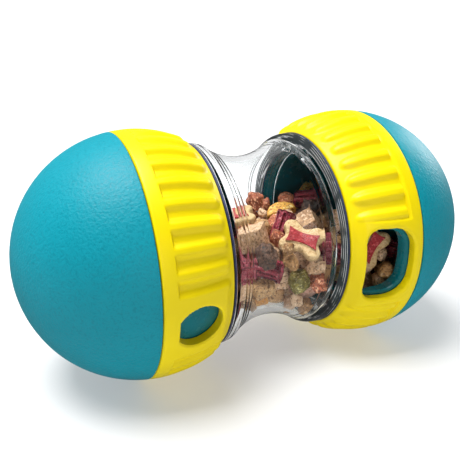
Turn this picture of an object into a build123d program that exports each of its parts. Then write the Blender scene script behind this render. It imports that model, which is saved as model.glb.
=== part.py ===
from build123d import *
import math
import os
import random

import numpy as np

# Rolling treat puzzle for dogs: a clear hourglass body with a ball-shaped screw cap at each end.
# A cap is a sleeve with a treat port, a domed shell on its outer end and a ribbed ring that turns over the port.
# The long axis lies along X, the front faces -Y and up is +Z. The origin is the middle of the waist.
# Lengths are in millimetres and angles in degrees, counted from the top towards the front.

# Ball-shaped ends and the ribbed rings that form part of their outside
end_ball_radius = 39.6
ring_mouth_share = 8 / 9
ring_width_share = 13 / 22
ring_wall = 2.0
band_width = 4.4
band_slope = 1.0
rib_height = 1.2
rib_runout = 2.2
rib_nose = 1.6
rib_pitch_degrees = 10.0
rib_degrees = 5.0
running_gap = 0.3

# Treat windows in the rings and the ports behind them
window_centre_share = 0.52
right_window_share = 0.688
right_window_width = 24.4
inner_corner_share = 0.3
outer_corner_share = 0.45
left_window_share = 0.632
left_window_width = 13.4
left_window_flat = 6.4
port_margin = 1.5
right_window_angle = 94.5
left_window_angle = 105.0
ring_turn_degrees = 90.0
window_clear_ribs = {"left": 2, "right": 4}

# Sleeves
sleeve_wall = 3.7
mouth_wall = 2.2
spigot_step = 1.4
spigot_length = 4.5
lug_length = 2.6
lug_height = 1.0
lug_degrees = 8.0
lug_angle = 250.0

# Dome shells
dome_wall = 2.7
dome_lip = 3.0
seat_gap = 0.1

# Clear body and the washers on its collars
collar_face = 18.9
collar_length = 5.3
collar_step = 0.3
collar_slope = 0.8
flare_step = 2.0
waist_share = 0.692
clear_wall = 2.0
neck_length = 5.4
shoulder_gap = 0.7
seal_thickness = 0.7

# Caps unscrew this far
cap_travel = 5.8

# Treats
cube_side = 8.6
cube_height = 8.0
biscuit_length = 15.0
biscuit_width = 11.5
biscuit_thickness = 4.6
filling_length = 9.8
filling_width = 6.6
filling_thickness = 0.6
stick_width = 7.4
stick_length = 10.5
nugget_length = 9.5
nugget_width = 7.6
nugget_height = 7.2
nugget_taper = 12.0
moon_length = 13.2
moon_thickness = 4.6
kibble_length = 11.5
kibble_width = 7.4
kibble_thickness = 6.2
chunk_length = 11.5
chunk_width = 9.0
chunk_height = 7.6
chunk_taper = 9.0

# The pile of treats: its level, its slope into the caps and its packing
pile_level = 5.0
pile_flat_share = 0.44
pile_slope_share = 0.75
pile_end_share = 0.8
pile_front_limit = 29.0
pile_front_depth = 13.5
treat_gap = 0.12
drop_step = 0.5
drop_columns = 110
pile_misses = 14
pile_seed = 12
lie_tilt_degrees = 9.0
nudge_degrees = 7.0
nudge_step = 1.2
skin_step = 2.6
settle_step = 0.12
settle_depth = 15.0
settle_rounds = 2

cut_overrun = 4.0

# Sizes that keep to the balls
ring_mouth_radius = end_ball_radius * ring_mouth_share
ring_width = end_ball_radius * ring_width_share
right_window_length = ring_width * right_window_share
left_window_length = ring_width * left_window_share
waist_radius = end_ball_radius * waist_share

# Places along the axis, from the waist outwards
seal_face = collar_face + seal_thickness
ring_mouth = seal_face + running_gap
ring_rim = ring_mouth + ring_width
dome_rim = ring_rim + running_gap
band_start = ring_rim - band_width
ball_centre = ring_mouth + math.sqrt(end_ball_radius**2 - ring_mouth_radius**2)
half_length = ball_centre + end_ball_radius
pile_flat_half_length = half_length * pile_flat_share
pile_half_length = half_length * pile_end_share
window_x = ring_mouth + ring_width * window_centre_share
spigot_end = dome_rim + spigot_length
lip_end = dome_rim + dome_lip
neck_end = collar_face + neck_length
bore_shoulder = neck_end + shoulder_gap
flare_end = collar_face - collar_length

# Radii of the concentric balls that the ring, sleeve and dome are cut from
ring_floor_ball = end_ball_radius - rib_height
ring_inner_ball = ring_floor_ball - ring_wall
sleeve_ball = ring_inner_ball - running_gap
dome_inner_ball = end_ball_radius - dome_wall


def ball_radius_at(ball, x):
    """Radius about the axis of a ball on the cap's centre, at the distance x from the waist."""
    return math.sqrt(ball**2 - (x - ball_centre) ** 2)


sleeve_bore = sleeve_ball - sleeve_wall
sleeve_mouth_radius = ball_radius_at(sleeve_ball, seal_face)
neck_bore = sleeve_mouth_radius - mouth_wall
neck_radius = neck_bore - running_gap
neck_inner = neck_radius - clear_wall
spigot_radius = ball_radius_at(sleeve_ball, dome_rim) - spigot_step
dome_seat = spigot_radius + seat_gap
collar_radius = ball_radius_at(ring_floor_ball, ring_mouth) - collar_step
flare_radius = collar_radius - flare_step

# The waist is an arc, concave outwards, that leaves the waist square to it
flare_rise = flare_radius - waist_radius
waist_arc = (flare_end**2 + flare_rise**2) / (2 * flare_rise)
waist_arc_centre = waist_radius + waist_arc
inner_arc = waist_arc + clear_wall


def ball_arc(side, ball, start, end):
    """Draw the part of a ball's outline between two distances from the waist."""
    middle = (start + end) / 2
    points = [(side * x, ball_radius_at(ball, x)) for x in (start, middle, end)]
    ThreePointArc(*points)


def pole_arc(side, ball, start):
    """Draw the part of a ball's outline from a distance from the waist to the axis."""
    pole = ball_centre + ball
    middle = (start + pole) / 2
    points = [(side * x, ball_radius_at(ball, x)) for x in (start, middle)]
    ThreePointArc(*points, (side * pole, 0))


def radial_plane(angle):
    """Plane through the axis whose Y points outwards at an angle from the top towards the front."""
    tilt = math.radians(angle)
    return Plane(origin=(0, 0, 0), x_dir=(1, 0, 0), z_dir=(0, -math.cos(tilt), -math.sin(tilt)))


def outlet_plane(side, angle):
    """Plane on the axis that faces out through a treat outlet, with X towards the dome."""
    tilt = math.radians(angle)
    outwards = (0, -math.sin(tilt), math.cos(tilt))
    return Plane(origin=(side * window_x, 0, 0), x_dir=(side, 0, 0), z_dir=outwards)


def right_outlet(outline, margin):
    """Draw a rounded rectangle, rounder on the dome's side."""
    Rectangle(right_window_length - 2 * margin, right_window_width - 2 * margin)
    fillet(outline.vertices().group_by(Axis.X)[0], right_window_length * inner_corner_share - margin)
    fillet(outline.vertices().group_by(Axis.X)[-1], right_window_length * outer_corner_share - margin)


def left_outlet(outline, margin):
    """Draw a lens-shaped oval, cut flat on the dome's side."""
    reach = left_window_length / 2 - margin
    Ellipse(reach, left_window_width / 2 - margin)
    with Locations((left_window_flat - margin, 0)):
        Rectangle(reach, left_window_width, align=(Align.MIN, Align.CENTER), mode=Mode.SUBTRACT)


def write(piece, name):
    """Label a finished piece and write its file."""
    piece.part.label = name
    export_step(piece.part, f"parts/{name}.step")


os.makedirs("parts", exist_ok=True)

# Clear body: one half's outline, mirrored and turned about the axis
with BuildPart() as clear_body:
    with BuildSketch(Plane.XZ):
        with BuildLine():
            bend = flare_end / 2
            outer_bend = waist_arc_centre - math.sqrt(waist_arc**2 - bend**2)
            inner_bend = waist_arc_centre - math.sqrt(inner_arc**2 - bend**2)
            inner_flare = waist_arc_centre - math.sqrt(inner_arc**2 - flare_end**2)
            ThreePointArc((0, waist_radius), (bend, outer_bend), (flare_end, flare_radius))
            Polyline(
                (flare_end, flare_radius),
                (flare_end, collar_radius - collar_slope),
                (collar_face, collar_radius),
                (collar_face, neck_radius),
                (neck_end, neck_radius),
                (neck_end, neck_inner),
                (collar_face - clear_wall, neck_inner),
                (collar_face - clear_wall, collar_radius - clear_wall),
                (flare_end + clear_wall, collar_radius - collar_slope - clear_wall),
                (flare_end, inner_flare),
            )
            ThreePointArc((flare_end, inner_flare), (bend, inner_bend), (0, waist_radius - clear_wall))
            mirror(about=Plane.YZ)
        make_face()
    revolve(axis=Axis.X)
write(clear_body, "clear_body")

for end in ("left", "right"):
    side = -1 if end == "left" else 1
    outlet = left_outlet if end == "left" else right_outlet
    window_angle = left_window_angle if end == "left" else right_window_angle
    port_angle = window_angle - ring_turn_degrees if end == "left" else window_angle

    # Washer between the clear collar and the cap
    with BuildPart() as seal:
        with BuildSketch(Plane.XZ):
            Polygon(
                (side * collar_face, neck_bore),
                (side * collar_face, collar_radius),
                (side * seal_face, collar_radius),
                (side * seal_face, neck_bore),
                align=None,
            )
        revolve(axis=Axis.X)
    write(seal, f"{end}_seal")

    # Sleeve: a bored slice of a ball with a spigot for the dome, a treat port and a stop lug
    with BuildPart() as sleeve:
        with BuildSketch(Plane.XZ):
            with BuildLine():
                ball_arc(side, sleeve_ball, seal_face, dome_rim)
                Polyline(
                    (side * dome_rim, ball_radius_at(sleeve_ball, dome_rim)),
                    (side * dome_rim, spigot_radius),
                    (side * spigot_end, spigot_radius),
                    (side * spigot_end, sleeve_bore),
                    (side * bore_shoulder, sleeve_bore),
                    (side * bore_shoulder, neck_bore),
                    (side * seal_face, neck_bore),
                    (side * seal_face, sleeve_mouth_radius),
                )
            make_face()
        revolve(axis=Axis.X)
        lug_start = ring_rim - lug_length
        with BuildSketch(radial_plane(lug_angle)):
            Polygon(
                (side * lug_start, sleeve_bore + sleeve_wall / 2),
                (side * lug_start, ball_radius_at(sleeve_ball, lug_start) + lug_height),
                (side * ring_rim, ball_radius_at(sleeve_ball, lug_start) + lug_height),
                (side * ring_rim, sleeve_bore + sleeve_wall / 2),
                align=None,
            )
        revolve(axis=Axis.X, revolution_arc=lug_degrees)
        with BuildSketch(outlet_plane(side, port_angle)) as port:
            outlet(port, port_margin)
        extrude(amount=end_ball_radius + cut_overrun, mode=Mode.SUBTRACT)
    write(sleeve, f"{end}_sleeve")

    # Dome: a shell whose lip seats on the sleeve's spigot
    with BuildPart() as dome:
        with BuildSketch(Plane.XZ):
            with BuildLine():
                pole_arc(side, end_ball_radius, dome_rim)
                Line((side * half_length, 0), (side * (half_length - dome_wall), 0))
                pole_arc(side, dome_inner_ball, lip_end)
                Polyline(
                    (side * lip_end, ball_radius_at(dome_inner_ball, lip_end)),
                    (side * lip_end, dome_seat),
                    (side * dome_rim, dome_seat),
                    (side * dome_rim, ball_radius_at(end_ball_radius, dome_rim)),
                )
            make_face()
        revolve(axis=Axis.X)
    write(dome, f"{end}_dome")

    # Ring: a plain band beside the dome, then ribs over a lower floor, with the lug's groove inside
    with BuildPart() as ring:
        with BuildSketch(Plane.XZ):
            with BuildLine():
                slope_start = band_start - band_slope
                ball_arc(side, ring_floor_ball, ring_mouth, slope_start)
                Line(
                    (side * slope_start, ball_radius_at(ring_floor_ball, slope_start)),
                    (side * band_start, ball_radius_at(end_ball_radius, band_start)),
                )
                ball_arc(side, end_ball_radius, band_start, ring_rim)
                Line(
                    (side * ring_rim, ball_radius_at(end_ball_radius, ring_rim)),
                    (side * ring_rim, ball_radius_at(ring_inner_ball, ring_rim)),
                )
                ball_arc(side, ring_inner_ball, ring_mouth, ring_rim)
                Line(
                    (side * ring_mouth, ball_radius_at(ring_inner_ball, ring_mouth)),
                    (side * ring_mouth, ball_radius_at(ring_floor_ball, ring_mouth)),
                )
            make_face()
        revolve(axis=Axis.X)
        rib_start = ring_mouth + rib_runout
        rib_crest = rib_start + rib_nose
        rib_root = ring_floor_ball - ring_wall / 2
        gap_degrees = (window_clear_ribs[end] + 1) * rib_pitch_degrees
        rib_count = round((360 - gap_degrees) / rib_pitch_degrees) + 1
        first_rib = window_angle + (gap_degrees - rib_degrees) / 2
        rib_planes = [radial_plane(first_rib + k * rib_pitch_degrees) for k in range(rib_count)]
        with BuildSketch(*rib_planes):
            with BuildLine():
                ball_arc(side, rib_root, rib_start, band_start)
                Line(
                    (side * band_start, ball_radius_at(rib_root, band_start)),
                    (side * band_start, ball_radius_at(end_ball_radius, band_start)),
                )
                ball_arc(side, end_ball_radius, rib_crest, band_start)
                nose_middle = (rib_start + rib_crest) / 2
                ThreePointArc(
                    (side * rib_crest, ball_radius_at(end_ball_radius, rib_crest)),
                    (side * nose_middle, ball_radius_at(ring_floor_ball + rib_height * 2 / 3, nose_middle)),
                    (side * rib_start, ball_radius_at(ring_floor_ball, rib_start)),
                )
                Line(
                    (side * rib_start, ball_radius_at(ring_floor_ball, rib_start)),
                    (side * rib_start, ball_radius_at(rib_root, rib_start)),
                )
            make_face()
        revolve(axis=Axis.X, revolution_arc=rib_degrees)
        groove_start = lug_start - running_gap
        groove_top = ball_radius_at(sleeve_ball, lug_start) + lug_height + running_gap
        gap_angle = math.degrees(running_gap / sleeve_ball)
        groove_angle = lug_angle - gap_angle
        with BuildSketch(radial_plane(groove_angle)):
            Polygon(
                (side * groove_start, sleeve_bore),
                (side * groove_start, groove_top),
                (side * (ring_rim + cut_overrun), groove_top),
                (side * (ring_rim + cut_overrun), sleeve_bore),
                align=None,
            )
        revolve(
            axis=Axis.X,
            revolution_arc=lug_degrees + ring_turn_degrees + 2 * gap_angle,
            mode=Mode.SUBTRACT,
        )
        with BuildSketch(outlet_plane(side, window_angle)) as window:
            outlet(window, 0)
        extrude(amount=end_ball_radius + cut_overrun, mode=Mode.SUBTRACT)
    write(ring, f"{end}_ring")

# Outlines of the treats, flat, about their own middles
def box_outline(length, width):
    """Corners of a rectangle, in order."""
    return [(x * length / 2, y * width / 2) for x, y in ((-1, -1), (1, -1), (1, 1), (-1, 1))]


def scaled(shares, length, width):
    """An outline given as shares of a length and a width."""
    return [(x * length, y * width) for x, y in shares]


lobe_shares = [(0.0, 0.30), (0.26, 0.5), (0.44, 0.44), (0.5, 0.24), (0.36, 0.0)]
bone_right_shares = lobe_shares + [(x, -y) for x, y in reversed(lobe_shares[:-1])]
bone_shares = bone_right_shares + [(-x, y) for x, y in reversed(bone_right_shares[1:-1])]
nugget_shares = [(-0.5, -0.17), (-0.2, -0.5), (0.33, -0.5), (0.5, 0.17), (0.2, 0.5), (-0.33, 0.5)]
kidney_shares = [(-0.5, 0.1), (-0.3, -0.42), (0.0, -0.26), (0.3, -0.42), (0.5, 0.1), (0.25, 0.5), (-0.25, 0.5)]
round_shares = [(math.cos(k * math.pi / 4) / 2, math.sin(k * math.pi / 4) / 2) for k in range(8)]
moon_shares = [(math.cos(k * math.pi / 6) / 2, math.sin(k * math.pi / 6) - 0.5) for k in range(7)]
nugget = scaled(nugget_shares, nugget_length, nugget_width)

# Each kind of treat: its node, its share of the pile, its outline, its height and the taper of its sides
treat_kinds = {
    "cube": ("treat_cubes", 0.27, box_outline(cube_side, cube_side), cube_height, 0),
    "biscuit": ("treat_biscuits", 0.05, scaled(bone_shares, biscuit_length, biscuit_width), biscuit_thickness, 0),
    "stick": ("treat_sticks", 0.12, scaled(round_shares, stick_width, stick_width), stick_length, 0),
    "nugget": ("treat_nuggets", 0.12, nugget, nugget_height, nugget_taper),
    "green": ("treat_green_nuggets", 0.06, nugget, nugget_height, nugget_taper),
    "dark": ("treat_dark_nuggets", 0.06, nugget, nugget_height, nugget_taper),
    "moon": ("treat_half_moons", 0.08, scaled(moon_shares, moon_length, moon_length / 2), moon_thickness, 0),
    "kibble": ("treat_kibbles", 0.18, scaled(kidney_shares, kibble_length, kibble_width), kibble_thickness, 0),
    "chunk": ("treat_chunks", 0.06, box_outline(chunk_length, chunk_width), chunk_height, chunk_taper),
}
# Two biscuits lie where they show best: their places as shares of the waist, the way they face and their length
shown_biscuits = [
    ((0.40, -0.68, 0.15), (-0.3, -0.72, 0.62), (0.75, -0.1, -0.5)),
    ((1.25, -0.93, -0.06), (-0.2, -0.95, 0.2), (0.6, 0.0, 0.8)),
]


def treat_skin(kind):
    """Points all over a treat's sides, spaced along its outline and its height."""
    _, _, outline, height, taper = treat_kinds[kind]
    corners = np.array(outline)
    flat = []
    for start, end in zip(corners, np.roll(corners, -1, axis=0)):
        count = math.ceil(np.linalg.norm(end - start) / skin_step)
        flat.append(np.linspace(start, end, count, endpoint=False))
    flat = np.vstack(flat)
    narrowing = height / 2 * math.tan(math.radians(taper)) / np.linalg.norm(corners, axis=1).max()
    top = height / 2 + (filling_thickness if kind == "biscuit" else 0)
    levels = np.linspace(-1, 1, math.ceil(2 * top / skin_step) + 1)
    layers = [np.column_stack([flat * (1 - narrowing * abs(z)), np.full(len(flat), z * top)]) for z in levels]
    return np.vstack(layers)


skins = {kind: treat_skin(kind) for kind in treat_kinds}
skin_points = max(len(skin) for skin in skins.values())
skins = {kind: np.resize(skin, (skin_points, 3)) for kind, skin in skins.items()}


def pit_radius(x):
    """Inside radius that treats keep to at x, with each cap shut or lifted off by its travel.

    A narrow part counts as longer by the spacing of the treats' points, so that no edge slips past its lip."""
    reach = np.abs(x)
    waist = waist_arc_centre - np.sqrt(np.maximum(inner_arc**2 - reach**2, 0))
    dome = np.sqrt(np.maximum(dome_inner_ball**2 - (reach - ball_centre) ** 2, 0))
    tight = np.minimum(waist, neck_inner)
    sleeve = np.where(reach < bore_shoulder + cap_travel + skin_step, neck_radius, sleeve_bore)
    cap = np.where(reach < spigot_end, sleeve, np.minimum(dome, sleeve_bore))
    return np.where(reach < neck_end + skin_step, tight, cap) - running_gap


def pile_top(x):
    """Height of the pile, level over the waist and falling away into the caps."""
    return pile_level - pile_slope_share * max(0, abs(x) - pile_flat_half_length)


def turn_about(axis, angle):
    """Rotation about the X, Y or Z axis, numbered 0 to 2."""
    turn = np.eye(3)
    first, second = (axis + 1) % 3, (axis + 2) % 3
    turn[first, first] = turn[second, second] = math.cos(angle)
    turn[first, second] = -math.sin(angle)
    turn[second, first] = math.sin(angle)
    return turn


def lying_turn(draw):
    """Rows are the axes of a treat that lies on one of its sides, a little tilted, turned any way."""
    pitch, roll = (draw.gauss(0, math.radians(lie_tilt_degrees)) for _ in range(2))
    yaw = draw.uniform(0, 2 * math.pi)
    axes = (turn_about(2, yaw) @ turn_about(1, pitch) @ turn_about(0, roll)).T
    return np.roll(axes, draw.randrange(3), axis=0)


def nudged(axes, draw):
    """The same axes after a small turn about each of X, Y and Z."""
    for axis in range(3):
        axes = axes @ turn_about(axis, draw.gauss(0, math.radians(nudge_degrees)))
    return axes


def facing(face, along):
    """Rows are the axes of a treat whose flat face looks along one direction, with its length along another."""
    across = np.cross(face, along)
    axes = [np.cross(across, face), across, np.array(face)]
    return np.array([axis / np.linalg.norm(axis) for axis in axes])


def directions(axes):
    """A treat's axes and the diagonals of its outline, for one treat or several."""
    first, second = axes[..., :1, :], axes[..., 1:2, :]
    return np.concatenate([axes, first + second, first - second], axis=-2)


def apart(trials, axes, skin, near):
    """For each trial centre, whether some direction parts the treat there from every treat near it."""
    centres, others, skins_near = (np.array(column) for column in zip(*[one[:3] for one in near]))
    crosses = np.cross(axes[None, :, None, :], others[:, None, :, :]).reshape(len(near), -1, 3)
    own_lines = np.repeat(directions(axes)[None], len(near), axis=0)
    lines = np.concatenate([own_lines, directions(others), crosses], axis=1)
    own = lines @ skin.T
    theirs = lines @ skins_near.transpose(0, 2, 1)
    gap = treat_gap * np.linalg.norm(lines, axis=2)
    offsets = np.einsum("nki,kmi->nkm", trials[:, None, :] - centres, lines)
    above = offsets + own.min(axis=2) > theirs.max(axis=2) + gap
    below = offsets + own.max(axis=2) < theirs.min(axis=2) - gap
    return (above | below).any(axis=2).all(axis=1)


def in_pit(trials, skin):
    """For each trial centre, whether the treat there lies within the inside walls."""
    points = trials[:, None, :] + skin
    return (np.hypot(points[..., 1], points[..., 2]) < pit_radius(points[..., 0])).all(axis=1)


def free_places(trials, axes, skin, others):
    """For each trial centre, whether the treat there lies in the pit and apart from the other treats."""
    points = trials[:, None, :] + skin
    shut_in = (points[..., 2] < -pile_front_depth) | (np.abs(points[..., 1]) < pile_front_limit)
    free = in_pit(trials, skin) & shut_in.all(axis=1)
    x, y, _ = trials[0]
    reach = np.linalg.norm(skin, axis=1).max()
    near = [one for one in others if math.hypot(x - one[0][0], y - one[0][1]) < reach + one[3]]
    if free.any() and near:
        free[free] = apart(trials[free], axes, skin, near)
    return free


def column(x, y, heights):
    """Trial centres one above another."""
    return np.column_stack([np.full_like(heights, x), np.full_like(heights, y), heights])


def lowest_place(x, y, axes, skin):
    """Lowest free centre in the column at x and y, or None."""
    floor = -math.sqrt(max(pit_radius(x) ** 2 - y**2, 0))
    trials = column(x, y, np.arange(floor, pile_top(x) + drop_step, drop_step))
    if len(trials) == 0:
        return None
    free = free_places(trials, axes, skin, laid)
    return trials[free.argmax()] if free.any() else None


def settled(index):
    """A laid treat let down until it meets what lies under it."""
    centre, axes, skin, reach, kind = laid[index]
    x, y, height = centre
    trials = column(x, y, np.arange(height, height - settle_depth, -settle_step))
    free = free_places(trials, axes, skin, laid[:index] + laid[index + 1 :])
    steps = len(free) if free.all() else free.argmin()
    return (trials[max(steps - 1, 0)], axes, skin, reach, kind)


def lay(centre, axes, kind):
    """Add a treat to the pile."""
    skin = skins[kind] @ axes
    laid.append((centre, axes, skin, np.linalg.norm(skin, axis=1).max(), kind))


def outermost_place(place, skin):
    """First centre within the walls on the way from a place to the axis."""
    inwards = np.linspace(1, 0, math.ceil(waist_radius / drop_step))
    trials = place * np.column_stack([np.ones_like(inwards), inwards, inwards])
    return trials[in_pit(trials, skin).argmax()]


# Treats are laid one by one, each at the lowest free place of some trial columns, then nudged lower
draw = random.Random(pile_seed)
laid = []
for place_shares, face, along in shown_biscuits:
    axes = facing(face, along)
    place = outermost_place(waist_radius * np.array(place_shares), skins["biscuit"] @ axes)
    lay(place, axes, "biscuit")
shares = [kind[1] for kind in treat_kinds.values()]
misses = 0
while misses < pile_misses:
    kind = draw.choices(list(treat_kinds), shares)[0]
    best = None
    for trial in range(drop_columns):
        if best is None or trial < drop_columns / 2:
            x = draw.uniform(-pile_half_length, pile_half_length)
            y = draw.uniform(-neck_radius, neck_radius)
            axes = lying_turn(draw)
        else:
            x = draw.gauss(best[0][0], nudge_step)
            y = draw.gauss(best[0][1], nudge_step)
            axes = nudged(best[1], draw)
        centre = lowest_place(x, y, axes, skins[kind] @ axes)
        depth = -math.inf if centre is None else pile_top(x) - centre[2]
        if centre is not None and (best is None or depth > best[2]):
            best = (centre, axes, depth)
    misses = misses + 1 if best is None else 0
    if best is not None:
        lay(best[0], best[1], kind)
for _ in range(settle_rounds):
    for index in sorted(range(len(laid)), key=lambda index: laid[index][0][2]):
        laid[index] = settled(index)
print("treats", len(laid))


def treat_planes(kind):
    """A plane in the middle of each laid treat of a kind."""
    return [
        Plane(origin=tuple(centre), x_dir=tuple(axes[0]), z_dir=tuple(axes[2]))
        for centre, axes, _, _, own_kind in laid
        if own_kind == kind
    ]


for kind, (node, _, outline, height, taper) in treat_kinds.items():
    with BuildPart() as treats:
        with BuildSketch(*treat_planes(kind)):
            Polygon(*outline, align=None)
        extrude(amount=height / 2, both=True, taper=taper)
    write(treats, node)

# Red filling on one face of each biscuit
with BuildPart() as treat_biscuit_fillings:
    with BuildSketch(*[plane.offset(biscuit_thickness / 2) for plane in treat_planes("biscuit")]):
        Polygon(*scaled(bone_shares, filling_length, filling_width), align=None)
    extrude(amount=filling_thickness)
write(treat_biscuit_fillings, "treat_biscuit_fillings")
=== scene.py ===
import math

import bpy
import numpy as np
from mathutils import Euler, Matrix, Vector
from mathutils.bvhtree import BVHTree


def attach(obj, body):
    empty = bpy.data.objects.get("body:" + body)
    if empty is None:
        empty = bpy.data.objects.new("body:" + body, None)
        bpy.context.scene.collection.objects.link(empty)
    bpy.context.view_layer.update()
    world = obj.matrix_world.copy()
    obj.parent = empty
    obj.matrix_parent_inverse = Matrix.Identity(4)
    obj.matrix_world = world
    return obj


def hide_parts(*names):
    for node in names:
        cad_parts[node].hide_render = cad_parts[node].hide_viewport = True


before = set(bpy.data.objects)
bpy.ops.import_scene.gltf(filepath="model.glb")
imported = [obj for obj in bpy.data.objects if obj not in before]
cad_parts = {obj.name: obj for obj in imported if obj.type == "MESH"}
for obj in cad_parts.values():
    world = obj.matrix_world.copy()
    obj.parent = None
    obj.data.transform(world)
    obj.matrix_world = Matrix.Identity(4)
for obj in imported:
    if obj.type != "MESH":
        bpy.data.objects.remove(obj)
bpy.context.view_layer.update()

mm = 0.001

# Clear body: an hourglass of clear hard plastic, blown in one piece with an even wall.
# Each end flares to a collar, turns in to a flat face and carries a short neck
# with a fine screw thread for the caps.
waist_radius = 27.4
waist_bend = 24.55
clear_wall = 2.0
flare_end = 15.2
flare_grooves = (12.6, 14.1)
groove_depth, groove_width = 0.2, 0.24
collar_face = 18.9
collar_radius = 33.5
collar_shoulder, collar_taper = 0.9, 0.35
collar_step = 0.5
flare_start = 11.5
neck_radius = 28.56
neck_end = 24.3
thread_height, thread_half_width = 0.22, 0.45
thread_places = (20.3, 21.7, 23.1)


def rounded(corners, cuts, count=5):
    """An outline with its corners turned into short curves, each cut back by its own length."""
    points = []
    for index, (corner, cut) in enumerate(zip(corners, cuts)):
        if cut == 0 or index in (0, len(corners) - 1):
            points.append(corner)
            continue
        before = np.subtract(corners[index - 1], corner)
        after = np.subtract(corners[index + 1], corner)
        start = corner + before / np.linalg.norm(before) * cut
        end = corner + after / np.linalg.norm(after) * cut
        for t in np.linspace(0, 1, count):
            points.append(tuple(start * (1 - t) ** 2 + 2 * np.array(corner) * t * (1 - t) + end * t**2))
    return points


def turned(name, outline, steps):
    """Draw an outline point by point, x along the toy and r out from its axis, and spin it round the axis."""
    bpy.ops.object.select_all(action="DESELECT")
    bpy.ops.mesh.primitive_plane_add(size=mm)
    piece = bpy.context.object
    piece.name = name
    bpy.ops.object.mode_set(mode="EDIT")
    bpy.ops.mesh.merge(type="CENTER")
    last_x, last_r = outline[0]
    bpy.ops.transform.translate(value=(last_x * mm, 0, last_r * mm))
    for x, r in outline[1:]:
        step = ((x - last_x) * mm, 0, (r - last_r) * mm)
        bpy.ops.mesh.extrude_region_move(TRANSFORM_OT_translate={"value": step})
        last_x, last_r = x, r
    bpy.ops.mesh.select_all(action="SELECT")
    bpy.ops.mesh.spin(steps=steps, angle=2 * math.pi, center=(0, 0, 0), axis=(1, 0, 0))
    bpy.ops.mesh.select_all(action="SELECT")
    bpy.ops.mesh.remove_doubles(threshold=0.002 * mm)
    bpy.ops.mesh.normals_make_consistent(inside=False)
    bpy.ops.object.mode_set(mode="OBJECT")
    return piece


def picked(*pieces):
    """Select these pieces alone, the first one active."""
    bpy.ops.object.select_all(action="DESELECT")
    for piece in pieces:
        piece.select_set(True)
    bpy.context.view_layer.objects.active = pieces[0]


def smooth_shaded(piece, degrees):
    """Shade a piece smooth, with creases kept where faces meet at more than an angle."""
    picked(piece)
    bpy.ops.object.shade_smooth_by_angle(angle=math.radians(degrees))


def waist_line(radius, centre):
    """Half of the waist's curve, from the middle out to the flare."""
    middle, flare = np.linspace(0, flare_start - 0.1, 16), np.linspace(flare_start + 0.1, flare_end, 26)
    return [(x, centre - math.sqrt(radius**2 - x**2)) for x in (*middle, *flare)]


class Value:
    """A value in a material's nodes. Arithmetic on it adds Math nodes."""

    def __init__(self, tree, socket=None):
        self.tree, self.socket = tree, socket

    def node(self, kind, settings=None, values=None, out=0):
        """Add a node, set its settings, then link or set its sockets, and give one of its outputs."""
        node = self.tree.nodes.new("ShaderNode" + kind)
        for name, setting in (settings or {}).items():
            if name == "stops":
                ramp = node.color_ramp
                while len(ramp.elements) < len(setting):
                    ramp.elements.new(1)
                for element, (place, colour) in zip(ramp.elements, setting):
                    element.position = place
                    element.color = (*colour, 1)
            else:
                setattr(node, name, setting)
        for name, value in (values or {}).items():
            if isinstance(value, Value):
                self.tree.links.new(value.socket, node.inputs[name])
            else:
                node.inputs[name].default_value = value
        return Value(self.tree, node.outputs[out])

    def maths(self, operation, *terms):
        """A Math node on one or more terms."""
        return self.node("Math", {"operation": operation}, dict(enumerate(terms)))

    def __add__(self, other):
        return self.maths("ADD", self, other)

    def __radd__(self, other):
        return self.maths("ADD", other, self)

    def __mul__(self, other):
        return self.maths("MULTIPLY", self, other)

    def __rmul__(self, other):
        return self.maths("MULTIPLY", other, self)

    def clipped(self, low, high):
        """0 below one value, 1 above another, smooth between."""
        settings = {"interpolation_type": "SMOOTHSTEP"}
        return self.node("MapRange", settings, {0: self, 1: low, 2: high, 3: 0.0, 4: 1.0})

    def mixed(self, first, second):
        """The first colour where this value is 0, the second where it is 1."""
        mix = self.node("Mix", {"data_type": "RGBA"}, {0: self}, 2)
        for socket, colour in ((6, first), (7, second)):
            if isinstance(colour, Value):
                self.tree.links.new(colour.socket, mix.socket.node.inputs[socket])
            else:
                mix.socket.node.inputs[socket].default_value = (*colour, 1)
        return mix

    def noise(self, size, detail=2.0, kind="Noise"):
        """A pattern in the piece's own space, with lumps of a size in millimetres."""
        place = self.node("TexCoord", out="Object")
        if kind == "Voronoi":
            return self.node("TexVoronoi", {}, {"Vector": place, "Scale": 1 / (size * mm)})
        return self.node("TexNoise", {}, {"Vector": place, "Scale": 1 / (size * mm), "Detail": detail})


def finish_of(name):
    """A new material: the maker of its values, and its shader."""
    material = bpy.data.materials.new(name)
    material.use_nodes = True
    tree = material.node_tree
    return material, Value(tree), tree.nodes["Principled BSDF"]


def feed(value, shader, socket):
    """Link a value to one of a shader's sockets."""
    value.tree.links.new(value.socket, shader.inputs[socket])


def roughened(value, shader, height, strength):
    """Bump a shader's surface by a value, up to a height in millimetres."""
    bump = value.node("Bump", {}, {"Height": value, "Distance": height * mm, "Strength": strength})
    feed(bump, shader, "Normal")


def dress(piece, material, body, slot, *nodes):
    """Give a finished piece its material and its body, and hide the nodes that it stands for. Its slot is not used.
    """
    piece.data.materials.clear()
    piece.data.materials.append(material)
    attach(piece, body)
    if nodes:
        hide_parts(*nodes)


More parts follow.
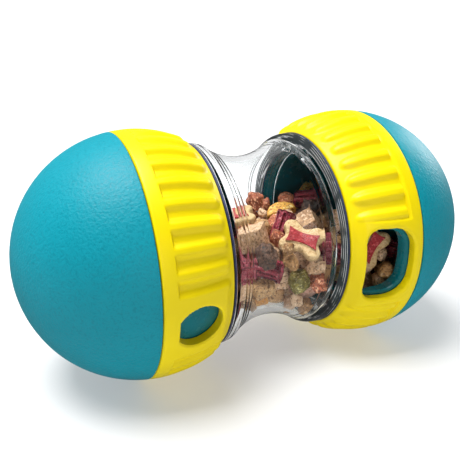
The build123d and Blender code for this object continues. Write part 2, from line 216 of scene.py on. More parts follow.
waist_centre = waist_radius + waist_bend
outside = [
    (x, r - sum(groove_depth * math.exp(-(((x - place) / groove_width) ** 2)) for place in flare_grooves))
    for x, r in waist_line(waist_bend, waist_centre)
]
inside = waist_line(waist_bend + clear_wall, waist_centre)
collar = [
    outside[-1],
    (flare_end + collar_shoulder, collar_radius - collar_taper),
    (collar_face, collar_radius),
    (collar_face, neck_radius),
]
collar_cuts = [0, 0.9, 0.35, 0.5]
for place in thread_places:
    collar += [
        (place - thread_half_width, neck_radius),
        (place, neck_radius + thread_height),
        (place + thread_half_width, neck_radius),
    ]
    collar_cuts += [0.2, 0.2, 0.2]
neck_inner = neck_radius - clear_wall
collar += [
    (neck_end, neck_radius),
    (neck_end, neck_inner),
    (collar_face - clear_wall, neck_inner),
    (collar_face - clear_wall, inside[-1][1] + collar_step),
    inside[-1],
]
collar_cuts += [0.5, 0.5, 0.7, 0.6, 0]
half = outside[:-1] + rounded(collar, collar_cuts) + inside[-2::-1]
mirrored = [(-x, r) for x, r in reversed(half)]
clear_body = turned("clear_body_shell", half + mirrored[1:], 192)
smooth_shaded(clear_body, 40)

clear_plastic, clear, shader = finish_of("clear_plastic")
shader.inputs["Base Color"].default_value = (0.97, 0.985, 0.99, 1)
shader.inputs["Roughness"].default_value = 0.02
shader.inputs["IOR"].default_value = 1.22
shader.inputs["Transmission Weight"].default_value = 1.0
lamp_rays = clear.node("LightPath", out="Is Shadow Ray")
bright_shadow = clear.node("BsdfTransparent", {}, {"Color": (0.94, 0.95, 0.95, 1)})
shown = clear.node("MixShader", {}, {0: lamp_rays, 1: Value(clear.tree, shader.outputs[0]), 2: bright_shadow})
feed(shown, clear.tree.nodes["Material Output"], "Surface")
dress(clear_body, clear_plastic, "body", "clear_plastic", "clear_body")

# Washers: a thin soft ring between each clear collar and the cap that screws against it, punched
# from dark blue sheet. Its facing on the collar is pale on the left and dark on the right,
# where thin pale rings are painted on as glints.
seal_thickness = 0.7
seal_face = collar_face + seal_thickness
seal_middle = collar_face + seal_thickness / 2
running_gap = 0.3
neck_bore = neck_radius + running_gap
facing = collar_face - 0.04
facing_depth, facing_inset = 0.16, 0.3
backing_start = collar_face + 0.1
glint_ring_pitch = 1.25

seal_rubber, rubber, shader = finish_of("seal_rubber")
dusty = rubber.noise(1.5).clipped(0.3, 0.75)
place = rubber.node("TexCoord", out="Object")
along, across, upright = (rubber.node("SeparateXYZ", {}, {0: place}, axis) for axis in "XYZ")
backing = along.maths("ABSOLUTE", along).clipped(backing_start * mm, (backing_start + 0.06) * mm)
navy = dusty.mixed((0.012, 0.02, 0.075), (0.03, 0.045, 0.14))
# Painted glints: thin pale rings round the axis on the dark right facing, broken up by noise. The rubber has no
# ridges.
squared = across * across + upright * upright
glint_ring_phase = squared.maths("SQRT", squared) * (2 * math.pi / (glint_ring_pitch * mm))
painted_glint_rings = glint_ring_phase.maths("SINE", glint_ring_phase).clipped(0.55, 0.95) * rubber.noise(5.0).clipped(0.38, 0.56)
dark_facing = painted_glint_rings.mixed((0.015, 0.03, 0.035), (0.8, 0.83, 0.85))
facing_tone = along.clipped(-mm, mm).mixed((0.62, 0.65, 0.68), dark_facing)
feed(backing.mixed(facing_tone, navy), shader, "Base Color")
feed(dusty * 0.15 + 0.5, shader, "Roughness")
roughened(rubber.noise(0.3), shader, 0.05, 0.4)

for end, side in (("left", -1), ("right", 1)):
    corners = [
        (side * seal_middle, neck_bore),
        (side * facing, neck_bore),
        (side * facing, collar_radius - facing_inset),
        (side * (facing + facing_depth), collar_radius),
        (side * seal_face, collar_radius),
        (side * seal_face, neck_bore),
        (side * seal_middle, neck_bore),
    ]
    washer = turned(f"{end}_washer_ring", rounded(corners, [0, 0.15, 0.05, 0.05, 0.2, 0.15, 0], 3), 160)
    smooth_shaded(washer, 50)
    dress(washer, seal_rubber, f"{end}_washer", "seal_rubber", f"{end}_seal")

# Sleeves: moulded in glossy dark teal, each screws on a clear neck and carries the dome.
# A treat port is cut through the wall, and a small lug stops the yellow ring's turn.
end_ball = 39.6
ring_mouth = seal_face + running_gap
ring_mouth_radius = 35.2
ring_width = 23.4
ball_centre = ring_mouth + math.sqrt(end_ball**2 - ring_mouth_radius**2)
rib_height = 1.2
ring_wall = 2.0
ring_floor_ball = end_ball - rib_height
ring_inner_ball = ring_floor_ball - ring_wall
sleeve_ball = ring_inner_ball - running_gap
sleeve_wall, spigot_step, spigot_length = 3.7, 1.4, 4.5
sleeve_bore = sleeve_ball - sleeve_wall
ring_rim = ring_mouth + ring_width
dome_rim = ring_rim + running_gap
neck_room = 0.7
bore_shoulder = neck_end + neck_room
spigot_end = dome_rim + spigot_length
window_x = ring_mouth + ring_width * 0.52
left_window_length, left_window_width, left_window_flat = ring_width * 0.632, 13.4, 6.4
right_window_length, right_window_width = ring_width * 0.688, 24.4
right_corners = {"inner": right_window_length * 0.3, "outer": right_window_length * 0.45}
port_margin, port_rounding = 1.5, 1.1
window_angles = {"left": 105.0, "right": 94.5}
port_angles = {"left": 15.0, "right": 94.5}
lug_angle, lug_degrees, lug_length, lug_height = 250.0, 8.0, 2.6, 1.0
cutter_start, cutter_spare = 6.0, 10.0
far_side = 99.0


def on_ball(ball, x):
    """Radius about the axis of a ball on the cap's centre, at a distance x from the waist."""
    return math.sqrt(ball**2 - (x - ball_centre) ** 2)


def ball_line(side, ball, places):
    """Points on a ball's outline at distances from the waist."""
    return [(side * x, on_ball(ball, x)) for x in places]


spigot_radius = on_ball(sleeve_ball, dome_rim) - spigot_step


def eased(value, low, high):
    """0 below one value, 1 above another, smooth between."""
    t = np.clip((value - low) / (high - low), 0, 1)
    return t * t * (3 - 2 * t)


def window_gap(end, along, across, margin):
    """How far points lie outside an outlet's outline, along towards the dome and across round the toy."""
    if end == "left":
        reach, width = left_window_length / 2 - margin, left_window_width / 2 - margin
        share = np.hypot(along / reach, across / width)
        oval = (share - 1) * np.hypot(along, across) / np.maximum(share, 1e-6)
        return np.maximum(oval, along - left_window_flat + margin)
    corner = np.where(along < 0, right_corners["inner"], right_corners["outer"]) - margin
    over_x = np.abs(along) - (right_window_length / 2 - margin) + corner
    over_y = np.abs(across) - (right_window_width / 2 - margin) + corner
    inner = np.minimum(np.maximum(over_x, over_y), 0)
    return inner + np.hypot(np.maximum(over_x, 0), np.maximum(over_y, 0)) - corner


def window_outline(end, margin, count=96):
    """Points round an outlet's outline, found outwards from its middle."""
    points = []
    for angle in np.linspace(0, 2 * math.pi, count, endpoint=False):
        low, high = 0.0, right_window_width
        for _ in range(30):
            middle = (low + high) / 2
            gap = window_gap(end, np.array(middle * math.cos(angle)), np.array(middle * math.sin(angle)), margin)
            low, high = (middle, high) if gap < 0 else (low, middle)
        points.append((low * math.cos(angle), low * math.sin(angle)))
    return points


def cut_outlet(piece, end, side, angle, margin):
    """Cut an outlet straight through a wall, facing out at an angle from the top towards the front."""
    tilt = math.radians(angle)
    outwards = np.array([0, -math.sin(tilt), math.cos(tilt)])
    round_toy = np.array([0, -math.cos(tilt), -math.sin(tilt)])
    outline = window_outline(end, margin)
    places = [
        np.array([side * (window_x + along), 0, 0]) + round_toy * across + outwards * (sleeve_bore - cutter_start)
        for along, across in outline
    ]
    bpy.ops.object.select_all(action="DESELECT")
    bpy.ops.mesh.primitive_circle_add(vertices=len(places), fill_type="NGON")
    cutter = bpy.context.object
    for vertex, place in zip(cutter.data.vertices, places):
        vertex.co = place * mm
    bpy.ops.object.mode_set(mode="EDIT")
    bpy.ops.mesh.select_all(action="SELECT")
    lift = tuple(outwards * (end_ball - sleeve_bore + cutter_spare) * mm)
    bpy.ops.mesh.extrude_region_move(TRANSFORM_OT_translate={"value": lift})
    bpy.ops.mesh.select_all(action="SELECT")
    bpy.ops.mesh.normals_make_consistent(inside=False)
    bpy.ops.object.mode_set(mode="OBJECT")
    bpy.ops.object.select_all(action="DESELECT")
    bpy.context.view_layer.objects.active = piece
    cut = piece.modifiers.new("outlet", "BOOLEAN")
    cut.operation = "DIFFERENCE"
    cut.solver = "EXACT"
    cut.object = cutter
    bpy.ops.object.modifier_apply(modifier=cut.name)
    bpy.data.objects.remove(cutter)


def points_of(piece):
    """A piece's points in millimetres, with their distance from the waist, radius and angle from the top."""
    flat = np.empty(len(piece.data.vertices) * 3)
    piece.data.vertices.foreach_get("co", flat)
    x, y, z = (flat.reshape(-1, 3) / mm).T
    return x, np.hypot(y, z), np.degrees(np.arctan2(-y, z)) % 360


def set_radii(piece, x, radius, angle):
    """Move a piece's points to new radii about the toy's axis."""
    turn = np.radians(angle)
    places = np.column_stack([x, -radius * np.sin(turn), radius * np.cos(turn)]) * mm
    piece.data.vertices.foreach_set("co", places.ravel())
    piece.data.update()


def edge_drop(gap, radius):
    """How far a surface falls as it rounds over into a cut, by the distance from the cut."""
    left = np.clip(radius - np.maximum(gap, 0), 0, radius)
    return radius - np.sqrt(radius**2 - left**2)


def outlet_gap(end, x, radius, angle, centre, margin):
    """Distance of a surface's points from an outlet at an angle, large on the far side."""
    turn = np.radians(angle - centre)
    gap = window_gap(end, np.abs(x) - window_x, radius * np.sin(turn), margin)
    return np.where(np.cos(turn) > 0, gap, far_side)


teal_gloss, teal, shader = finish_of("teal_gloss")
flow = teal.noise(14, 3).clipped(0.25, 0.8)
feed(flow.mixed((0.0, 0.13, 0.16), (0.0, 0.16, 0.195)), shader, "Base Color")
feed(teal.noise(3).clipped(0.2, 0.9) * 0.1 + 0.22, shader, "Roughness")
roughened(teal.noise(5), shader, 0.06, 0.25)

for end, side in (("left", -1), ("right", 1)):
    sleeve_outline = ball_line(side, sleeve_ball, np.linspace(seal_face + 0.02, dome_rim - 0.02, 62))
    step = [
        sleeve_outline[-1],
        (side * dome_rim, on_ball(sleeve_ball, dome_rim) - 0.3),
        (side * dome_rim, spigot_radius),
        (side * spigot_end, spigot_radius),
        (side * spigot_end, sleeve_bore),
        (side * (spigot_end - 6), sleeve_bore),
        (side * (window_x + 4), sleeve_bore),
        (side * window_x, sleeve_bore),
        (side * (window_x - 4), sleeve_bore),
        (side * bore_shoulder, sleeve_bore),
        (side * bore_shoulder, neck_bore),
        (side * seal_face, neck_bore),
        (side * seal_face, on_ball(sleeve_ball, seal_face) - 0.2),
        sleeve_outline[0],
    ]
    cuts = [0, 0.1, 0.3, 0.5, 0.5, 0, 0, 0, 0, 0.6, 0.5, 0.2, 0.05, 0]
    sleeve = turned(f"{end}_port_sleeve", sleeve_outline[:-1] + rounded(step, cuts, 4), 360)
    x, radius, angle = points_of(sleeve)
    on_outside = np.hypot(np.abs(x) - ball_centre, radius) > sleeve_ball - 0.5
    on_outside &= np.abs(x) < dome_rim - 0.05
    gap = outlet_gap(end, x, radius, angle, port_angles[end], port_margin)
    lug = eased(lug_degrees / 2 - np.abs(angle - lug_angle - lug_degrees / 2), -0.5, 0.5)
    lug *= eased(np.abs(x), ring_rim - lug_length, ring_rim - lug_length + 0.5)
    lug *= 1 - eased(np.abs(x), ring_rim - 0.3, ring_rim)
    lift = lug * lug_height - edge_drop(gap, port_rounding)
    set_radii(sleeve, x, radius + on_outside * lift, angle)
    cut_outlet(sleeve, end, side, port_angles[end], port_margin)
    smooth_shaded(sleeve, 40)
    dress(sleeve, teal_gloss, f"{end}_cap", "teal_gloss", f"{end}_sleeve")

# Domes: half-ball shells in matte teal with a fine leathery grain from the mould.
# Each is pressed over the spigot of its sleeve.
dome_wall = 2.7
dome_inner_ball = end_ball - dome_wall
half_length = ball_centre + end_ball
lip_end = dome_rim + 3.0
dome_seat = spigot_radius + 0.1
dome_edge = dome_rim + 0.35

teal_matte, teal, shader = finish_of("teal_matte")
cloudy = teal.noise(22, 3).clipped(0.3, 0.75)
grain = teal.noise(0.62, 3)
specks = teal.noise(1.2, 0, "Voronoi")
body_colour = cloudy.mixed((0.0, 0.25, 0.322), (0.0, 0.268, 0.345))
# Painted shade in the grain's pits: the teal is darker where the grain noise, which also drives the bump, is low.
shaded_pits = grain.clipped(0.32, 0.5)
feed(shaded_pits.mixed((0.0, 0.215, 0.28), body_colour), shader, "Base Color")
feed(grain.clipped(0.3, 0.7) * 0.14 + 0.4, shader, "Roughness")
shader.inputs["Specular IOR Level"].default_value = 0.2
roughened(grain * 0.7 + specks * 0.45, shader, 0.24, 0.7)

for end, side in (("left", -1), ("right", 1)):
    outer_turn = np.linspace(math.acos((dome_edge - ball_centre) / end_ball), 0, 72)
    inner_turn = np.linspace(0, math.acos((lip_end - ball_centre) / dome_inner_ball), 28)
    outer, inner = (
        [(side * (ball_centre + ball * math.cos(a)), ball * math.sin(a)) for a in turn]
        for ball, turn in ((end_ball, outer_turn), (dome_inner_ball, inner_turn))
    )
    lip = [
        inner[-1],
        (side * lip_end, dome_seat),
        (side * dome_rim, dome_seat),
        (side * dome_rim, on_ball(end_ball, dome_rim)),
        outer[0],
    ]
    poles = [(side * half_length, 0), (side * (half_length - dome_wall), 0)]
    outline = outer[:-1] + poles + inner[1:-1] + rounded(lip, [0, 0.3, 0.3, 0.25, 0], 4)
    dome = turned(f"{end}_dome_shell", outline, 192)
    smooth_shaded(dome, 40)
    dress(dome, teal_matte, f"{end}_cap", "teal_matte", f"{end}_dome")

# Rings: yellow adjusting rings with a smooth band beside the dome, finger ribs all round for grip
# and a treat window in a smooth raised pad. Each turns on its sleeve, between the dome and the washer.
band_start = ring_rim - 4.4
rib_starts = {"left": ring_mouth + 1.0, "right": ring_mouth + 0.3}
pad_start = ring_mouth + 4.2
rib_pitch = 10.0
rib_crest, rib_foot = 0.55, 2.75
right_tip_width, right_tip_height, right_rib_end = 0.6, 0.45, 0.25
right_widening, right_rise = 6.0, 4.0
clear_ribs = {"left": 2, "right": 4}
pad_half = {"left": 9.9, "right": 14.7}
window_rounding = {"left": 0.6, "right": 1.0}
ring_turn = 90.0
rim_rounding = 0.6
groove_start = ring_rim - lug_length - running_gap

yellow_matte, yellow, shader = finish_of("yellow_matte")
drift = yellow.noise(18, 3).clipped(0.3, 0.75)
feed(drift.mixed((0.79, 0.625, 0.0), (0.83, 0.66, 0.0)), shader, "Base Color")
feed(yellow.noise(0.9).clipped(0.25, 0.8) * 0.1 + 0.34, shader, "Roughness")
shader.inputs["Specular IOR Level"].default_value = 0.22
roughened(yellow.noise(0.5, 2), shader, 0.05, 0.3)

for end, side in (("left", -1), ("right", 1)):
    edge = np.array([0.0, 0.04, 0.14, 0.3, 0.48])
    outer = np.concatenate([edge, np.linspace(0.66, ring_width - 0.66, 64), ring_width - edge[::-1]])
    outer_line = ball_line(side, ring_floor_ball, ring_mouth + outer)
    inner_line = ball_line(side, ring_inner_ball, np.linspace(ring_rim, groove_start, 4))
    inner_line += ball_line(side, ring_inner_ball, np.linspace(groove_start - 0.01, ring_mouth, 8))
    ring = turned(f"{end}_ribbed_ring", outer_line + inner_line + outer_line[:1], 720)
    x, radius, angle = points_of(ring)
    reach = np.abs(x)
    rib_start = rib_starts[end]
    outside = np.hypot(reach - ball_centre, radius) > ring_floor_ball - 0.5
    gap_degrees = (clear_ribs[end] + 1) * rib_pitch
    past_first = (angle - window_angles[end] - gap_degrees / 2) % 360
    number = np.round(past_first / rib_pitch)
    ribbed = (number * rib_pitch <= 360 - gap_degrees + 1) | (number == 360 / rib_pitch)
    offset = np.radians(past_first - number * rib_pitch) * radius
    tip = np.maximum(rib_start + rib_foot - reach, 0)
    narrow = 1.0
    if end == "right":
        narrow = right_tip_width + (1 - right_tip_width) * eased(reach, rib_start, rib_start + right_widening)
    rib = np.where(ribbed, 1 - eased(np.hypot(tip, offset) / narrow, rib_crest, rib_foot), 0)
    if end == "right":
        rib *= right_tip_height + (1 - right_tip_height) * eased(reach, rib_start, rib_start + right_rise)
        rib *= 1 - (1 - right_rib_end) * eased(reach, band_start - 1.0, band_start - 0.7)
    band = eased(reach, band_start - 0.5, band_start + 0.3)
    turn = np.radians(angle - window_angles[end])
    across = np.where(np.cos(turn) > 0, np.abs(radius * np.sin(turn)), far_side)
    pad = 1 - eased(across, pad_half[end] - 0.8, pad_half[end] + 0.9)
    pad *= eased(reach, ring_mouth + 0.6, pad_start)
    lift = rib_height * np.maximum.reduce([rib, band, pad])
    gap = outlet_gap(end, x, radius, angle, window_angles[end], 0)
    ends = np.minimum(reach - ring_mouth, ring_rim - reach)
    shaped = radius + lift - edge_drop(gap, window_rounding[end]) - edge_drop(ends, rim_rounding)
    past_lug = (angle - lug_angle + 1) % 360
    grooved = (reach > groove_start + 0.005) & (past_lug < lug_degrees + ring_turn + 2)
    groove_radius = on_ball(sleeve_ball, ring_rim - lug_length) + lug_height + running_gap
    hollow = np.where(grooved, np.maximum(radius, groove_radius), radius)
    set_radii(ring, x, np.where(outside, shaped, hollow), angle)
    cut_outlet(ring, end, side, window_angles[end], 0)
    smooth_shaded(ring, 40)
    dress(ring, yellow_matte, f"{end}_turning_ring", "yellow_matte", f"{end}_ring")


# Treats: small baked and dried pieces in nine kinds, poured into the toy. All are cut, pressed or
# extruded dough and meat, with worn corners and a rough, crumbly skin.
def copied(source):
    """A copy of a piece with its own mesh."""
    piece = source.copy()
    piece.data = source.data.copy()
    bpy.context.collection.objects.link(piece)
    return piece


def joined(name, pieces):
    """Join pieces into one, under a name."""
    picked(*pieces)
    bpy.ops.object.join()
    whole = bpy.context.object
    whole.name = name
    return whole


def treat_copy(node, name):
    """A copy of a node's treats with whole faces, ready for shaping."""
    piece = copied(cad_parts[node])
    piece.name = name
    piece.parent = None
    for key in [key for key in piece.keys() if key.startswith("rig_")]:
        del piece[key]
    picked(piece)
    bpy.ops.object.mode_set(mode="EDIT")
    bpy.ops.mesh.select_all(action="SELECT")
    bpy.ops.mesh.remove_doubles(threshold=0.01 * mm)
    bpy.ops.mesh.dissolve_limited(angle_limit=math.radians(3))
    bpy.ops.object.mode_set(mode="OBJECT")
    return piece


def lumps(name, size, kind="CLOUDS"):
    """A texture that pushes a surface in and out, with lumps of a size in millimetres."""
    texture = bpy.data.textures.new(name, kind)
    texture.noise_scale = size * mm
    return texture


def pushed(piece, pushes, middle):
    """Push a piece's skin in and out by textures, each to its depth, and apply all its modifiers."""
    for texture, depth in pushes:
        push = piece.modifiers.new("push", "DISPLACE")
        push.texture = texture
        push.texture_coords = "LOCAL"
        push.strength = depth * mm
        push.mid_level = middle
    picked(piece)
    for modifier in list(piece.modifiers):
        bpy.ops.object.modifier_apply(modifier=modifier.name)


def worn(piece, corner, levels, pushes):
    """Round a treat's corners, make its mesh fine and give it a rough skin."""
    bevel = piece.modifiers.new("corners", "BEVEL")
    bevel.width = corner * mm
    bevel.segments = 2
    bevel.limit_method = "ANGLE"
    bevel.angle_limit = math.radians(15)
    soft = piece.modifiers.new("skin", "SUBSURF")
    soft.levels = soft.render_levels = levels
    pushed(piece, pushes, 0.72)
    smooth_shaded(piece, 60)


def baked(name, dark, middle, pale, fleck, grain, shine):
    """A dry baked finish: each treat a little paler or darker, with flecks and pale edges, and painted shade in
    pores and creases.
    """
    material, skin, shader = finish_of(name)
    each = skin.node("NewGeometry", out="Random Per Island")
    own = each.node("ValToRGB", {"stops": [(0.0, dark), (0.35, middle), (1.0, pale)]}, {0: each})
    patches = skin.noise(3.0, 4).clipped(0.42, 0.7)
    crumbs = skin.noise(grain, 4)
    mottled = patches.mixed(own, middle)
    flecked = skin.noise(grain * 1.4, 3).clipped(0.54, 0.65).mixed(mottled, fleck)
    # Painted shade in the pores: the dark tone where the crumb noise, which also drives the bump, is low.
    shaded_pores = crumbs.clipped(0.36, 0.5).mixed(dark, flecked)
    form = skin.node("NewGeometry", out="Pointiness")
    edged = (form.clipped(0.58, 0.7) * 0.6).mixed(shaded_pores, fleck)
    # Painted shade in the creases: the dark tone where the surface is hollow, found by its pointiness.
    feed(form.clipped(0.4, 0.49).mixed(dark, edged), shader, "Base Color")
    feed(crumbs.clipped(0.2, 0.8) * 0.2 + shine, shader, "Roughness")
    roughened(crumbs, shader, 0.5, 0.9)
    return material


broad = lumps("broad_lumps", 4.5)
fine = lumps("fine_lumps", 1.3)
crumbly = lumps("crumbly_lumps", 2.2, "STUCCI")

# Cut cubes: beige baked dough, rolled out, diced and dried.
# Their faces stay flat and their edges crumble.
cubes = treat_copy("treat_cubes", "diced_cubes")
worn(cubes, 0.8, 2, [(broad, 0.9), (crumbly, 0.5), (fine, 0.35)])
beige = baked(
    "treat_beige", grain=0.8, shine=0.55,
    dark=(0.32, 0.165, 0.078), middle=(0.68, 0.41, 0.225), pale=(0.86, 0.6, 0.385), fleck=(0.89, 0.66, 0.46),
)
dress(cubes, beige, "body", "treat_beige", "treat_cubes")

# Bone biscuits: pale dough with four rounded lobes, pressed in a mould
# and toasted at the edges.
bones = treat_copy("treat_biscuits", "bone_biscuits")
worn(bones, 1.1, 2, [(broad, 0.25), (fine, 0.12)])
cream = baked(
    "treat_cream", grain=0.7, shine=0.45,
    dark=(0.56, 0.33, 0.13), middle=(0.72, 0.5, 0.25), pale=(0.76, 0.55, 0.3), fleck=(0.74, 0.52, 0.27),
)
dress(bones, cream, "body", "treat_cream", "treat_biscuits")

# Red filling: a thin glazed layer of meat paste on each biscuit's face, with four points
# and hollow sides. It is made once and laid on each biscuit.
filling_length, filling_width, filling_depth = 10.6, 5.4, 0.7
long_side_dip, short_side_dip = 0.38, 0.1
picked(treat_copy("treat_biscuit_fillings", "filling_seat"))
bpy.ops.object.mode_set(mode="EDIT")
bpy.ops.mesh.select_all(action="SELECT")
bpy.ops.mesh.separate(type="LOOSE")
bpy.ops.object.mode_set(mode="OBJECT")
seats = list(bpy.context.selected_objects)
bpy.ops.object.select_all(action="DESELECT")
bpy.ops.mesh.primitive_grid_add(x_subdivisions=14, y_subdivisions=8, size=2)
patch = bpy.context.object
for vertex in patch.data.vertices:
    u, v, _ = vertex.co
    along = u * filling_length / 2 * (1 - short_side_dip * (1 - v * v))
    across = v * filling_width / 2 * (1 - long_side_dip * (1 - u * u))
    vertex.co = Vector((along, across, 0)) * mm
layer = patch.modifiers.new("layer", "SOLIDIFY")
layer.thickness = filling_depth * mm
layer.offset = 0
bpy.ops.object.modifier_apply(modifier=layer.name)
patches = []
for seat in seats:
    places = np.array([vertex.co for vertex in seat.data.vertices])
    middle = places.mean(axis=0)
    axes = np.linalg.svd(places - middle, full_matrices=False)[2]
    axes[2] = np.cross(axes[0], axes[1])
    patches.append(copied(patch))
    patches[-1].data.transform(Matrix.Translation(middle) @ Matrix(axes.T.tolist()).to_4x4())
    bpy.data.objects.remove(seat)
bpy.data.objects.remove(patch)
filling = joined("biscuit_fillings", patches)
worn(filling, 0.15, 1, [(fine, 0.12)])
red = baked(
    "treat_filling", grain=0.6, shine=0.25,
    dark=(0.3, 0.01, 0.014), middle=(0.5, 0.022, 0.03), pale=(0.56, 0.035, 0.04), fleck=(0.66, 0.1, 0.1),
)
dress(filling, red, "body", "treat_filling", "treat_biscuit_fillings")

# Meat sticks: short round lengths cut from a raspberry-red extruded stick,
# with a rough ribbed skin and a hollow in each cut end.
end_rim, end_slope, end_hollow = 1.1, 0.5, 0.9
sticks = treat_copy("treat_sticks", "ribbed_sticks")
for face in sticks.data.polygons:
    face.select = len(face.vertices) > 4
bpy.ops.object.mode_set(mode="EDIT")
bpy.ops.mesh.select_mode(type="FACE")
bpy.ops.mesh.inset(thickness=end_rim * mm, depth=0, use_individual=True)
bpy.ops.mesh.inset(thickness=end_slope * mm, depth=-end_hollow * mm, use_individual=True)
bpy.ops.mesh.select_mode(type="VERT")
bpy.ops.object.mode_set(mode="OBJECT")
worn(sticks, 0.45, 1, [(crumbly, 0.9), (fine, 0.45)])
raspberry = baked(
    "treat_raspberry", grain=0.7, shine=0.3,
    dark=(0.13, 0.008, 0.018), middle=(0.36, 0.03, 0.058), pale=(0.48, 0.06, 0.09), fleck=(0.6, 0.2, 0.2),
)
dress(sticks, raspberry, "body", "treat_raspberry", "treat_sticks")

# Nuggets: broken lumps of dried meat in terracotta, olive and dark brown,
# rough all over where they were torn apart.
nugget_pieces, meat = [], {}
for node, slot, name, dark, middle, pale, fleck in (
    ("treat_nuggets", "treat_terracotta", "red_nuggets",
     (0.156, 0.0336, 0.0144), (0.504, 0.132, 0.054), (0.672, 0.24, 0.108), (0.864, 0.456, 0.264)),
    ("treat_green_nuggets", "treat_olive", "olive_nuggets",
     (0.132, 0.108, 0.0216), (0.384, 0.318, 0.066), (0.504, 0.432, 0.12), (0.672, 0.6, 0.264)),
    ("treat_dark_nuggets", "treat_brown", "brown_nuggets",
     (0.0192, 0.0096, 0.006), (0.066, 0.0312, 0.0204), (0.132, 0.066, 0.0384), (0.252, 0.132, 0.084)),
):
    nuggets = treat_copy(node, name)
    worn(nuggets, 1.2, 2, [(crumbly, 1.3), (fine, 0.6)])
    meat[slot] = baked(slot, dark, middle, pale, fleck, grain=0.7, shine=0.5)
    dress(nuggets, meat[slot], "body", slot, node)
    nugget_pieces.append(nuggets)

# Half-moons: amber slices of a waxy treat, cut across
# and then in half.
moons = treat_copy("treat_half_moons", "amber_half_moons")
worn(moons, 1.2, 2, [(broad, 0.5), (fine, 0.25)])
amber = baked(
    "treat_amber", grain=0.9, shine=0.35,
    dark=(0.408, 0.144, 0.0168), middle=(0.792, 0.348, 0.036), pale=(0.92, 0.516, 0.096), fleck=(0.92, 0.696, 0.24),
)
dress(moons, amber, "body", "treat_amber", "treat_half_moons")

# Kibbles: tan kidney-shaped pieces of meal,
# extruded, cut and puffed in the oven.
kibbles = treat_copy("treat_kibbles", "kidney_kibbles")
worn(kibbles, 1.7, 2, [(broad, 1.0), (fine, 0.4)])
tan = baked(
    "treat_tan", grain=0.8, shine=0.5,
    dark=(0.204, 0.09, 0.0264), middle=(0.48, 0.246, 0.09), pale=(0.648, 0.384, 0.168), fleck=(0.744, 0.492, 0.252),
)
dress(kibbles, tan, "body", "treat_tan", "treat_kibbles")

# Chunks: pale pink dried meat, hand cut
# and slightly fibrous.
chunks = treat_copy("treat_chunks", "pink_chunks")
worn(chunks, 1.4, 2, [(broad, 1.1), (fine, 0.4)])
pink = baked(
    "treat_pink", grain=0.9, shine=0.4,
    dark=(0.36, 0.15, 0.096), middle=(0.672, 0.36, 0.252), pale=(0.816, 0.528, 0.42), fleck=(0.912, 0.672, 0.564),
)
dress(chunks, pink, "body", "treat_pink", "treat_chunks")

# Broken bits: small kibbles and crumbs of the same doughs and meats. They fall between the larger treats
# and lie where these and the walls hold them, clear of the caps as these unscrew.
bit_sizes, bit_growth = (2.9, 2.3, 1.8), 1.25
bit_reach = ((-23, -28, -28), (42, 28, 3))
bit_tries, bit_moves = 900, 60
bit_steps = [(0, 0, -0.3)] + [(0.3 * math.cos(a), 0.3 * math.sin(a), -0.15) for a in np.arange(0, 6.2, math.pi / 3)]
bit_form = (1.32, 1.12, 0.92)
wall_share = 0.85
crumb_radius = 2.5
cap_travel = 5.8

corners, faces = [], []
for piece in (cubes, bones, sticks, *nugget_pieces, moons, kibbles, chunks):
    first = len(corners)
    corners += [vertex.co / mm for vertex in piece.data.vertices]
    faces += [[first + corner for corner in face.vertices] for face in piece.data.polygons]
pile = BVHTree.FromPolygons(corners, faces)
bits = []


def inside_radius(x):
    """Radius of the toy's hollow at a distance along it from the waist, where a cap leaves room as it unscrews."""
    if abs(x) < flare_end:
        return waist_centre - math.sqrt((waist_bend + clear_wall) ** 2 - x**2)
    return neck_inner if abs(x) < bore_shoulder + cap_travel + crumb_radius else sleeve_bore


def room(place):
    """Free distance from a place to the nearest treat, wall or bit."""
    near, outwards, _, away = pile.find_nearest(place)
    if (place - near).dot(outwards) < 0:
        return 0
    wall = wall_share * (inside_radius(place.x) - math.hypot(place.y, place.z))
    return min([away, wall] + [(place - bit).length - size for bit, size in bits])


draw = np.random.default_rng(5)
for smallest in bit_sizes:
    for start in draw.uniform(*bit_reach, (bit_tries, 3)):
        place = Vector(start)
        size = min(room(place), smallest * bit_growth)
        if size < smallest:
            continue
        for _ in range(bit_moves):
            lower = next((place + Vector(step) for step in bit_steps if room(place + Vector(step)) >= size), None)
            if lower is None:
                break
            place = lower
        bits.append((place, size))

for number, (name, slot, finish) in enumerate((
    ("small_kibbles", "treat_tan", tan),
    ("meat_crumbs", "treat_terracotta", meat["treat_terracotta"]),
    ("dough_crumbs", "treat_beige", beige),
)):
    aside = Vector((number * 4 * crumb_radius * mm, 0, 0))
    bpy.ops.object.select_all(action="DESELECT")
    bpy.ops.mesh.primitive_ico_sphere_add(subdivisions=3, radius=crumb_radius * mm, location=aside)
    bpy.ops.object.transform_apply(location=True, rotation=True, scale=True)
    crumb = bpy.context.object
    pushed(crumb, [(broad, 1.9), (crumbly, 1.3), (fine, 0.6)], 0.6)
    crumb.data.transform(Matrix.Translation(-aside))
    copies = []
    for place, size in bits[number::3]:
        turn = Euler(draw.uniform(0, 2 * math.pi, 3)).to_matrix().to_4x4()
        stretch = Matrix.Diagonal((*(share * size / crumb_radius for share in bit_form), 1))
        copies.append(copied(crumb))
        copies[-1].data.transform(Matrix.Translation(place * mm) @ turn @ stretch)
    bpy.data.objects.remove(crumb)
    crumbs = joined(name, copies)
    smooth_shaded(crumbs, 60)
    dress(crumbs, finish, "body", slot)

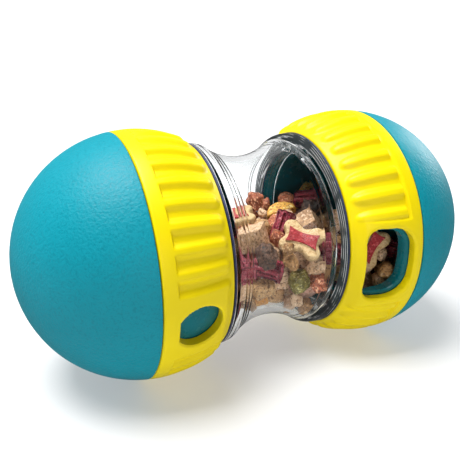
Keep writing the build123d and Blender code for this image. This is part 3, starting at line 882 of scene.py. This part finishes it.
# Studio: a seamless pale floor that sweeps up behind the toy, a broad soft lamp above, softer ones
# at the sides, and a camera where the photographer stood, above the left end and looking down a little.
floor_half, floor_back, wall_height, sweep = 3.0, 2.0, 3.0, 1.2
floor_height = -(end_ball + 0.05) * mm
bpy.ops.object.select_all(action="DESELECT")
bpy.ops.mesh.primitive_plane_add(size=2 * floor_half, location=(0, floor_back - floor_half, floor_height))
floor = bpy.context.object
floor.name = "studio_floor"
bpy.ops.object.transform_apply(location=True, rotation=True, scale=True)
for edge in floor.data.edges:
    edge.select = all(floor.data.vertices[v].co.y > floor_back - mm for v in edge.vertices)
for vertex in floor.data.vertices:
    vertex.select = vertex.co.y > floor_back - mm
for face in floor.data.polygons:
    face.select = False
bpy.ops.object.mode_set(mode="EDIT")
bpy.ops.mesh.extrude_region_move(TRANSFORM_OT_translate={"value": (0, 0, wall_height)})
bpy.ops.object.mode_set(mode="OBJECT")
curve = floor.modifiers.new("sweep", "BEVEL")
curve.width = sweep
curve.segments = 24
curve.limit_method = "ANGLE"
bpy.ops.object.modifier_apply(modifier=curve.name)
smooth_shaded(floor, 60)
floor_paint, paint, shader = finish_of("studio_floor")
feed(paint.noise(40).clipped(0.2, 0.8).mixed((0.5, 0.5, 0.5), (0.52, 0.52, 0.52)), shader, "Base Color")
shader.inputs["Roughness"].default_value = 0.8
shader.inputs["Specular IOR Level"].default_value = 0.2
# Painted light: the floor glows, dim near the toy and brighter away from it, whitening the backdrop and lightening
# the shade under the toy.
place = paint.node("TexCoord", out="Object")
away = paint.node("VectorMath", {"operation": "LENGTH"}, {0: place}, "Value")
feed(away.clipped(0.1, 1.0).mixed((0.36, 0.36, 0.36), (0.8, 0.8, 0.8)), shader, "Emission Color")
shader.inputs["Emission Strength"].default_value = 1.0
floor.data.materials.append(floor_paint)
floor.visible_glossy = False

out_of_top_light = bpy.data.collections.new("out_of_top_light")
out_of_top_light.objects.link(clear_body)
out_of_top_light.collection_objects[0].light_linking.link_state = "EXCLUDE"
for name, place, aim, size, power in (
    ("top_lamp", (-0.24, 0.06, 0.92), (0, 0, 0), 0.6, 17.5),
    ("front_lamp", (-0.2, -1.1, 0.25), (0, 0, 0), 0.4, 2.0),
    ("right_lamp", (0.85, 0.32, 0.26), (0.03, 0, 0), 0.35, 3.4),
):
    bpy.ops.object.light_add(type="AREA", location=place)
    lamp = bpy.context.object
    lamp.name = name
    lamp.data.energy = power
    lamp.data.size = size
    if name == "top_lamp":
        lamp.light_linking.receiver_collection = out_of_top_light
    lamp.rotation_euler = (lamp.location - Vector(aim)).to_track_quat("Z", "Y").to_euler()

white_surround, soft_light = 0.8, 0.15
world = bpy.data.worlds.new("studio")
world.use_nodes = True
background = world.node_tree.nodes["Background"]
background.inputs["Color"].default_value = (1, 1, 1, 1)
seen = Value(world.node_tree).node("LightPath", out="Is Camera Ray")
feed(seen * white_surround + soft_light, background, "Strength")
bpy.context.scene.world = world
bpy.context.scene.view_settings.view_transform = "Standard"

azimuth, elevation, roll = (math.radians(angle) for angle in (-24.23, 19.54, -0.6))
distance, shift_right, shift_up = 225.0, -5.6, 1.97
focal_pixels, frame_pixels = 656.0, 460
level = math.cos(elevation)
back = Vector((math.sin(azimuth) * level, -math.cos(azimuth) * level, math.sin(elevation)))
right = Vector((math.cos(azimuth), math.sin(azimuth), 0))
up = back.cross(right)
bpy.ops.object.camera_add(location=(back * distance + right * shift_right + up * shift_up) * mm)
camera = bpy.context.object
rolled_right = right * math.cos(roll) + up * math.sin(roll)
rolled_up = up * math.cos(roll) - right * math.sin(roll)
camera.rotation_euler = Matrix((rolled_right, rolled_up, back)).transposed().to_euler()
camera.data.sensor_width = 36
camera.data.lens = focal_pixels / frame_pixels * camera.data.sensor_width
camera.data.clip_start = 0.01
bpy.context.scene.camera = camera
